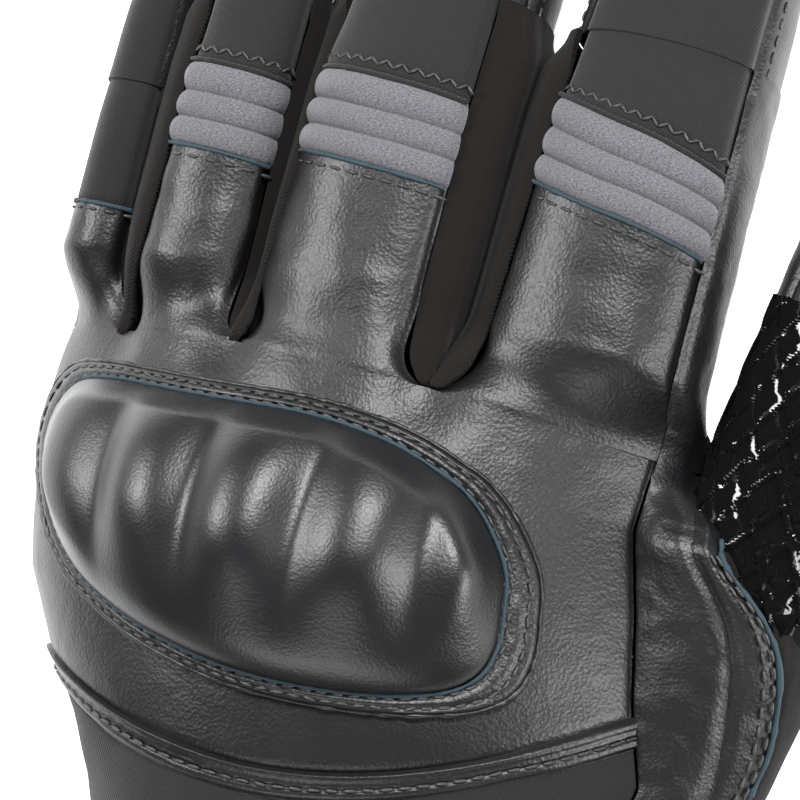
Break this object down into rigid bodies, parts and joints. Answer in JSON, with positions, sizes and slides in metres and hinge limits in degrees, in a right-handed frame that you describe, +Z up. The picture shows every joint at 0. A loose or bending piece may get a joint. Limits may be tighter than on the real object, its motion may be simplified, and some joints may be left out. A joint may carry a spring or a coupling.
{
  "type": "riding glove",
  "caption": "Left-hand motorcycle riding glove in black leather and softshell, with a padded knuckle guard, grey stretch ribs on the fingers and a strapped cuff.",
  "frame": {"origin": "on the flat underside of the heel slider, which the glove rests on", "axes": "+X to the thumb side, +Y to the fingertips, +Z up from the back of the hand"},
  "size_m": [0.1334, 0.2622, 0.0574],
  "materials": {
    "leather": "black goatskin, fine pebble, satin",
    "guard_leather": "black full-grain leather over a moulded shell, satin",
    "softshell": "black softshell cloth, matt",
    "stretch_grey": "heather grey ribbed stretch knit, matt",
    "twill": "black-brown stretch twill, matt",
    "grip_print": "black suede with a printed grip net",
    "lining": "dark grey brushed tricot",
    "foam": "dark grey closed-cell foam",
    "hook_loop": "black hook and loop tape",
    "rubber": "black moulded rubber, matt"
  },
  "bodies": {
    "hand": {"back_hem": "leather", "back_lining": "lining", "back_panel": "leather", "guard_flange": "leather", "heel_slider": "rubber", "index_side_strip": "leather", "knuckle_foam": "foam", "knuckle_guard": "guard_leather", "little_side_panel": "leather", "palm_panel": "leather", "palm_patch": "grip_print", "thumb_gusset_back": "leather", "thumb_gusset_palm": "grip_print", "thumb_side_wrist_panel": "softshell", "wrist_back_panel": "softshell", "wrist_lining": "lining"},
    "cuff": {"cuff_back_panel": "softshell", "cuff_binding": "softshell", "cuff_lining": "lining", "cuff_palm_panel": "leather", "loop_pad": "hook_loop", "pull_loop": "twill", "strap_anchor": "leather"},
    "strap": {"hook_pad": "hook_loop", "strap_tab": "rubber", "wrist_strap": "leather"},
    "index_base_body": {"index_accordion": "stretch_grey", "index_base_back": "leather", "index_base_palm": "leather", "index_fourchette_little_side": "twill", "index_side_wall_thumb_side": "leather"},
    "index_mid_body": {"index_mid_back": "softshell", "index_mid_palm": "leather"},
    "index_tip_body": {"index_tip": "leather"},
    "little_base_body": {"little_base_back": "leather", "little_base_palm": "leather", "little_fourchette_thumb_side": "twill", "little_side_wall_little_side": "leather"},
    "little_mid_body": {"little_mid_back": "softshell", "little_mid_palm": "leather"},
    "little_tip_body": {"little_tip": "leather"},
    "middle_base_body": {"middle_accordion": "stretch_grey", "middle_base_back": "leather", "middle_base_palm": "leather", "middle_fourchette_little_side": "twill", "middle_fourchette_thumb_side": "twill"},
    "middle_mid_body": {"middle_mid_back": "softshell", "middle_mid_palm": "leather"},
    "middle_tip_body": {"middle_tip": "leather"},
    "ring_base_body": {"ring_accordion": "stretch_grey", "ring_base_back": "leather", "ring_base_palm": "leather", "ring_fourchette_little_side": "twill", "ring_fourchette_thumb_side": "twill"},
    "ring_mid_body": {"ring_mid_back": "softshell", "ring_mid_palm": "leather"},
    "ring_tip_body": {"ring_tip": "leather"},
    "thumb_base_body": {"thumb_base_back": "twill", "thumb_base_palm": "grip_print"},
    "thumb_tip_body": {"thumb_tip": "leather"}
  },
  "joints": [
    {"name": "index_knuckle", "type": "hinge", "parent": "hand", "child": "index_base_body", "pos_m": [0.03422, 0.07277, 0.01832], "axis": [-0.9999, 0.0105, 0], "range_deg": [0, 55]},
    {"name": "index_middle_joint", "type": "hinge", "parent": "index_base_body", "child": "index_mid_body", "pos_m": [0.03461, 0.10992, 0.01642], "axis": [-0.9999, 0.0105, 0], "range_deg": [0, 65]},
    {"name": "index_end_joint", "type": "hinge", "parent": "index_mid_body", "child": "index_tip_body", "pos_m": [0.03484, 0.13214, 0.01279], "axis": [-0.9999, 0.0105, 0], "range_deg": [0, 40]},
    {"name": "middle_knuckle", "type": "hinge", "parent": "hand", "child": "middle_base_body", "pos_m": [0.00055, 0.07365, 0.02074], "axis": [-1, 0.0035, 0], "range_deg": [0, 55]},
    {"name": "middle_middle_joint", "type": "hinge", "parent": "middle_base_body", "child": "middle_mid_body", "pos_m": [0.00067, 0.10832, 0.01864], "axis": [-1, 0.0035, 0], "range_deg": [0, 65]},
    {"name": "middle_end_joint", "type": "hinge", "parent": "middle_mid_body", "child": "middle_tip_body", "pos_m": [0.00076, 0.13485, 0.01336], "axis": [-1, 0.0035, 0], "range_deg": [0, 40]},
    {"name": "ring_knuckle", "type": "hinge", "parent": "hand", "child": "ring_base_body", "pos_m": [-0.02705, 0.07208, 0.01716], "axis": [-1, -0.0052, 0], "range_deg": [0, 55]},
    {"name": "ring_middle_joint", "type": "hinge", "parent": "ring_base_body", "child": "ring_mid_body", "pos_m": [-0.02722, 0.10544, 0.01545], "axis": [-1, -0.0052, 0], "range_deg": [0, 65]},
    {"name": "ring_end_joint", "type": "hinge", "parent": "ring_mid_body", "child": "ring_tip_body", "pos_m": [-0.02735, 0.12954, 0.01142], "axis": [-1, -0.0052, 0], "range_deg": [0, 40]},
    {"name": "little_knuckle", "type": "hinge", "parent": "hand", "child": "little_base_body", "pos_m": [-0.04563, 0.06845, 0.01018], "axis": [-0.9999, -0.0105, 0], "range_deg": [0, 55]},
    {"name": "little_middle_joint", "type": "hinge", "parent": "little_base_body", "child": "little_mid_body", "pos_m": [-0.04587, 0.09127, 0.00974], "axis": [-0.9999, -0.0105, 0], "range_deg": [0, 65]},
    {"name": "little_end_joint", "type": "hinge", "parent": "little_mid_body", "child": "little_tip_body", "pos_m": [-0.04606, 0.10947, 0.00845], "axis": [-0.9999, -0.0105, 0], "range_deg": [0, 40]},
    {"name": "thumb_swing", "type": "hinge", "parent": "hand", "child": "thumb_base_body", "pos_m": [0.06486, 0.04784, 0.01748], "axis": [0, 0, -1], "range_deg": [-2, 26]},
    {"name": "thumb_end_joint", "type": "hinge", "parent": "thumb_base_body", "child": "thumb_tip_body", "pos_m": [0.06682, 0.08276, 0.0134], "axis": [-0.9623, 0.0842, 0.2588], "range_deg": [0, 40]},
    {"name": "wrist_bend", "type": "hinge", "parent": "hand", "child": "cuff", "pos_m": [0.00994, -0.03864, 0.02576], "axis": [1, 0, 0], "range_deg": [-10, 10]},
    {"name": "strap_fold", "type": "hinge", "parent": "cuff", "child": "strap", "pos_m": [-0.02596, -0.05704, 0.04124], "axis": [0, -1, 0], "range_deg": [0, 100]}
  ],
  "couplings": [
    {"joint": "index_end_joint", "follows": "index_middle_joint", "ratio": 0.615},
    {"joint": "middle_end_joint", "follows": "middle_middle_joint", "ratio": 0.615},
    {"joint": "ring_end_joint", "follows": "ring_middle_joint", "ratio": 0.615},
    {"joint": "little_end_joint", "follows": "little_middle_joint", "ratio": 0.615}
  ]
}
